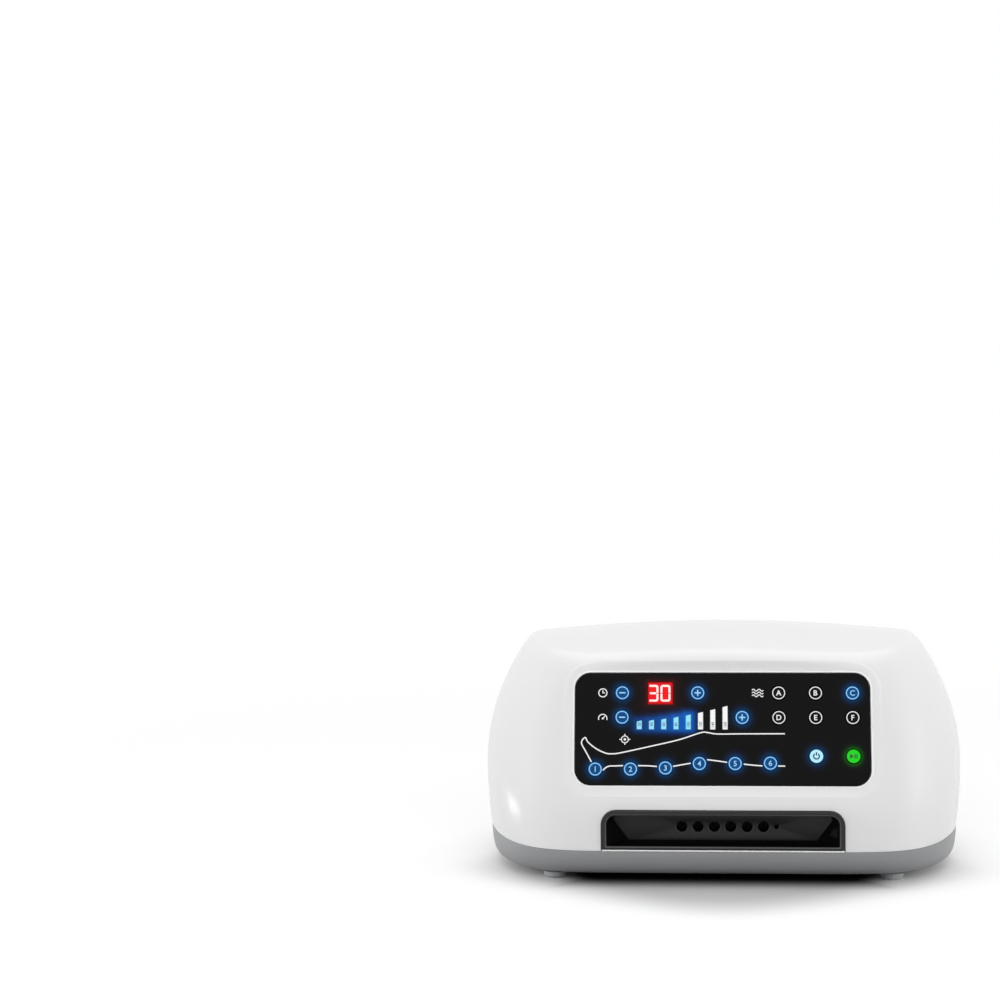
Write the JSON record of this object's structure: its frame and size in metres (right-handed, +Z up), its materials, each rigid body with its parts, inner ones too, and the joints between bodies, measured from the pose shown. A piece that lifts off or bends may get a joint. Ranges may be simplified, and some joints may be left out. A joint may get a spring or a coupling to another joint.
{
  "type": "compression therapy pump",
  "caption": "Tabletop air compression therapy console with a tilted lit key panel, a front bay of air outlets and a rear mains inlet",
  "frame": {"origin": "centre of the bounding box, on the surface the feet stand on", "axes": "+X to the viewer's right, -Y out of the front with the key panel, +Z up"},
  "size_m": [0.2798, 0.1916, 0.1394],
  "materials": {
    "white_shell": "white glossy moulded ABS",
    "grey_shell": "mid grey moulded ABS, satin",
    "black_panel": "smooth black printed acrylic",
    "key_black": "black key cap with a lit ring and sign",
    "power_key": "pale blue lit key cap",
    "start_key": "green lit key cap",
    "red_display": "red lit seven segment display",
    "bar_display": "blue and white lit bars",
    "circuit_board": "green solder mask on glass epoxy board",
    "receiver_black": "dark moulded infrared filter",
    "port_black": "charcoal moulded ABS, fine texture",
    "inlet_black": "black moulded nylon",
    "foot_rubber": "pale grey translucent rubber",
    "screw_steel": "zinc plated steel screw",
    "transformer_iron": "laminated iron core with a wound coil",
    "nylon": "natural moulded nylon",
    "pump_steel": "pressed steel frame",
    "plunger_steel": "ground steel plunger",
    "magnet_steel": "magnet block on a steel rod",
    "coil_copper": "enamelled copper winding",
    "diaphragm_rubber": "black moulded rubber",
    "silicone_hose": "clear grey silicone tube"
  },
  "bodies": {
    "root": {"upper_shell": "white_shell", "lower_shell": "grey_shell", "control_panel": "black_panel", "time_display": "red_display", "level_display": "bar_display", "panel_board": "circuit_board", "ir_receiver": "receiver_black", "port_bay": "port_black", "outlet_block": "port_black", "foot_front_left": "foot_rubber", "foot_front_right": "foot_rubber", "foot_rear_left": "foot_rubber", "foot_rear_right": "foot_rubber", "shell_screw_1": "screw_steel", "shell_screw_2": "screw_steel", "shell_screw_3": "screw_steel", "shell_screw_4": "screw_steel", "mains_inlet": "inlet_black", "main_board": "circuit_board", "transformer": "transformer_iron", "valve_manifold": "nylon", "valve_coil_1": "coil_copper", "valve_coil_2": "coil_copper", "valve_coil_3": "coil_copper", "valve_coil_4": "coil_copper", "valve_coil_5": "coil_copper", "valve_coil_6": "coil_copper", "pump_frame": "pump_steel", "pump_coil_front": "coil_copper", "pump_coil_rear": "coil_copper", "pump_diaphragm_left": "diaphragm_rubber", "pump_diaphragm_right": "diaphragm_rubber", "pump_head_left": "nylon", "pump_head_right": "nylon", "air_hose": "silicone_hose"},
    "key_time_down_body": {"key_time_down": "key_black"},
    "key_time_up_body": {"key_time_up": "key_black"},
    "key_pressure_down_body": {"key_pressure_down": "key_black"},
    "key_pressure_up_body": {"key_pressure_up": "key_black"},
    "key_mode_a_body": {"key_mode_a": "key_black"},
    "key_mode_b_body": {"key_mode_b": "key_black"},
    "key_mode_c_body": {"key_mode_c": "key_black"},
    "key_mode_d_body": {"key_mode_d": "key_black"},
    "key_mode_e_body": {"key_mode_e": "key_black"},
    "key_mode_f_body": {"key_mode_f": "key_black"},
    "key_zone_1_body": {"key_zone_1": "key_black"},
    "key_zone_2_body": {"key_zone_2": "key_black"},
    "key_zone_3_body": {"key_zone_3": "key_black"},
    "key_zone_4_body": {"key_zone_4": "key_black"},
    "key_zone_5_body": {"key_zone_5": "key_black"},
    "key_zone_6_body": {"key_zone_6": "key_black"},
    "key_power_body": {"key_power": "power_key"},
    "key_start_pause_body": {"key_start_pause": "start_key"},
    "valve_plunger_1_body": {"valve_plunger_1": "plunger_steel"},
    "valve_plunger_2_body": {"valve_plunger_2": "plunger_steel"},
    "valve_plunger_3_body": {"valve_plunger_3": "plunger_steel"},
    "valve_plunger_4_body": {"valve_plunger_4": "plunger_steel"},
    "valve_plunger_5_body": {"valve_plunger_5": "plunger_steel"},
    "valve_plunger_6_body": {"valve_plunger_6": "plunger_steel"},
    "pump_armature_body": {"pump_armature": "magnet_steel"}
  },
  "joints": [
    {"name": "key_time_down_press", "type": "slide", "parent": "root", "child": "key_time_down_body", "axis": [0, 0.9563, -0.2924], "range_m": [0, 0.0005], "stiffness_N_per_m": 2000},
    {"name": "key_time_up_press", "type": "slide", "parent": "root", "child": "key_time_up_body", "axis": [0, 0.9563, -0.2924], "range_m": [0, 0.0005], "stiffness_N_per_m": 2000},
    {"name": "key_pressure_down_press", "type": "slide", "parent": "root", "child": "key_pressure_down_body", "axis": [0, 0.9563, -0.2924], "range_m": [0, 0.0005], "stiffness_N_per_m": 2000},
    {"name": "key_pressure_up_press", "type": "slide", "parent": "root", "child": "key_pressure_up_body", "axis": [0, 0.9563, -0.2924], "range_m": [0, 0.0005], "stiffness_N_per_m": 2000},
    {"name": "key_mode_a_press", "type": "slide", "parent": "root", "child": "key_mode_a_body", "axis": [0, 0.9563, -0.2924], "range_m": [0, 0.0005], "stiffness_N_per_m": 2000},
    {"name": "key_mode_b_press", "type": "slide", "parent": "root", "child": "key_mode_b_body", "axis": [0, 0.9563, -0.2924], "range_m": [0, 0.0005], "stiffness_N_per_m": 2000},
    {"name": "key_mode_c_press", "type": "slide", "parent": "root", "child": "key_mode_c_body", "axis": [0, 0.9563, -0.2924], "range_m": [0, 0.0005], "stiffness_N_per_m": 2000},
    {"name": "key_mode_d_press", "type": "slide", "parent": "root", "child": "key_mode_d_body", "axis": [0, 0.9563, -0.2924], "range_m": [0, 0.0005], "stiffness_N_per_m": 2000},
    {"name": "key_mode_e_press", "type": "slide", "parent": "root", "child": "key_mode_e_body", "axis": [0, 0.9563, -0.2924], "range_m": [0, 0.0005], "stiffness_N_per_m": 2000},
    {"name": "key_mode_f_press", "type": "slide", "parent": "root", "child": "key_mode_f_body", "axis": [0, 0.9563, -0.2924], "range_m": [0, 0.0005], "stiffness_N_per_m": 2000},
    {"name": "key_zone_1_press", "type": "slide", "parent": "root", "child": "key_zone_1_body", "axis": [0, 0.9563, -0.2924], "range_m": [0, 0.0005], "stiffness_N_per_m": 2000},
    {"name": "key_zone_2_press", "type": "slide", "parent": "root", "child": "key_zone_2_body", "axis": [0, 0.9563, -0.2924], "range_m": [0, 0.0005], "stiffness_N_per_m": 2000},
    {"name": "key_zone_3_press", "type": "slide", "parent": "root", "child": "key_zone_3_body", "axis": [0, 0.9563, -0.2924], "range_m": [0, 0.0005], "stiffness_N_per_m": 2000},
    {"name": "key_zone_4_press", "type": "slide", "parent": "root", "child": "key_zone_4_body", "axis": [0, 0.9563, -0.2924], "range_m": [0, 0.0005], "stiffness_N_per_m": 2000},
    {"name": "key_zone_5_press", "type": "slide", "parent": "root", "child": "key_zone_5_body", "axis": [0, 0.9563, -0.2924], "range_m": [0, 0.0005], "stiffness_N_per_m": 2000},
    {"name": "key_zone_6_press", "type": "slide", "parent": "root", "child": "key_zone_6_body", "axis": [0, 0.9563, -0.2924], "range_m": [0, 0.0005], "stiffness_N_per_m": 2000},
    {"name": "key_power_press", "type": "slide", "parent": "root", "child": "key_power_body", "axis": [0, 0.9563, -0.2924], "range_m": [0, 0.0005], "stiffness_N_per_m": 2000},
    {"name": "key_start_pause_press", "type": "slide", "parent": "root", "child": "key_start_pause_body", "axis": [0, 0.9563, -0.2924], "range_m": [0, 0.0005], "stiffness_N_per_m": 2000},
    {"name": "valve_plunger_1_lift", "type": "slide", "parent": "root", "child": "valve_plunger_1_body", "axis": [0, 0, 1], "range_m": [0, 0.0012], "stiffness_N_per_m": 300, "springref_m": -0.0005},
    {"name": "valve_plunger_2_lift", "type": "slide", "parent": "root", "child": "valve_plunger_2_body", "axis": [0, 0, 1], "range_m": [0, 0.0012], "stiffness_N_per_m": 300, "springref_m": -0.0005},
    {"name": "valve_plunger_3_lift", "type": "slide", "parent": "root", "child": "valve_plunger_3_body", "axis": [0, 0, 1], "range_m": [0, 0.0012], "stiffness_N_per_m": 300, "springref_m": -0.0005},
    {"name": "valve_plunger_4_lift", "type": "slide", "parent": "root", "child": "valve_plunger_4_body", "axis": [0, 0, 1], "range_m": [0, 0.0012], "stiffness_N_per_m": 300, "springref_m": -0.0005},
    {"name": "valve_plunger_5_lift", "type": "slide", "parent": "root", "child": "valve_plunger_5_body", "axis": [0, 0, 1], "range_m": [0, 0.0012], "stiffness_N_per_m": 300, "springref_m": -0.0005},
    {"name": "valve_plunger_6_lift", "type": "slide", "parent": "root", "child": "valve_plunger_6_body", "axis": [0, 0, 1], "range_m": [0, 0.0012], "stiffness_N_per_m": 300, "springref_m": -0.0005},
    {"name": "pump_armature_swing", "type": "slide", "parent": "root", "child": "pump_armature_body", "axis": [1, 0, 0], "range_m": [-0.0015, 0.0015], "stiffness_N_per_m": 2000}
  ]
}
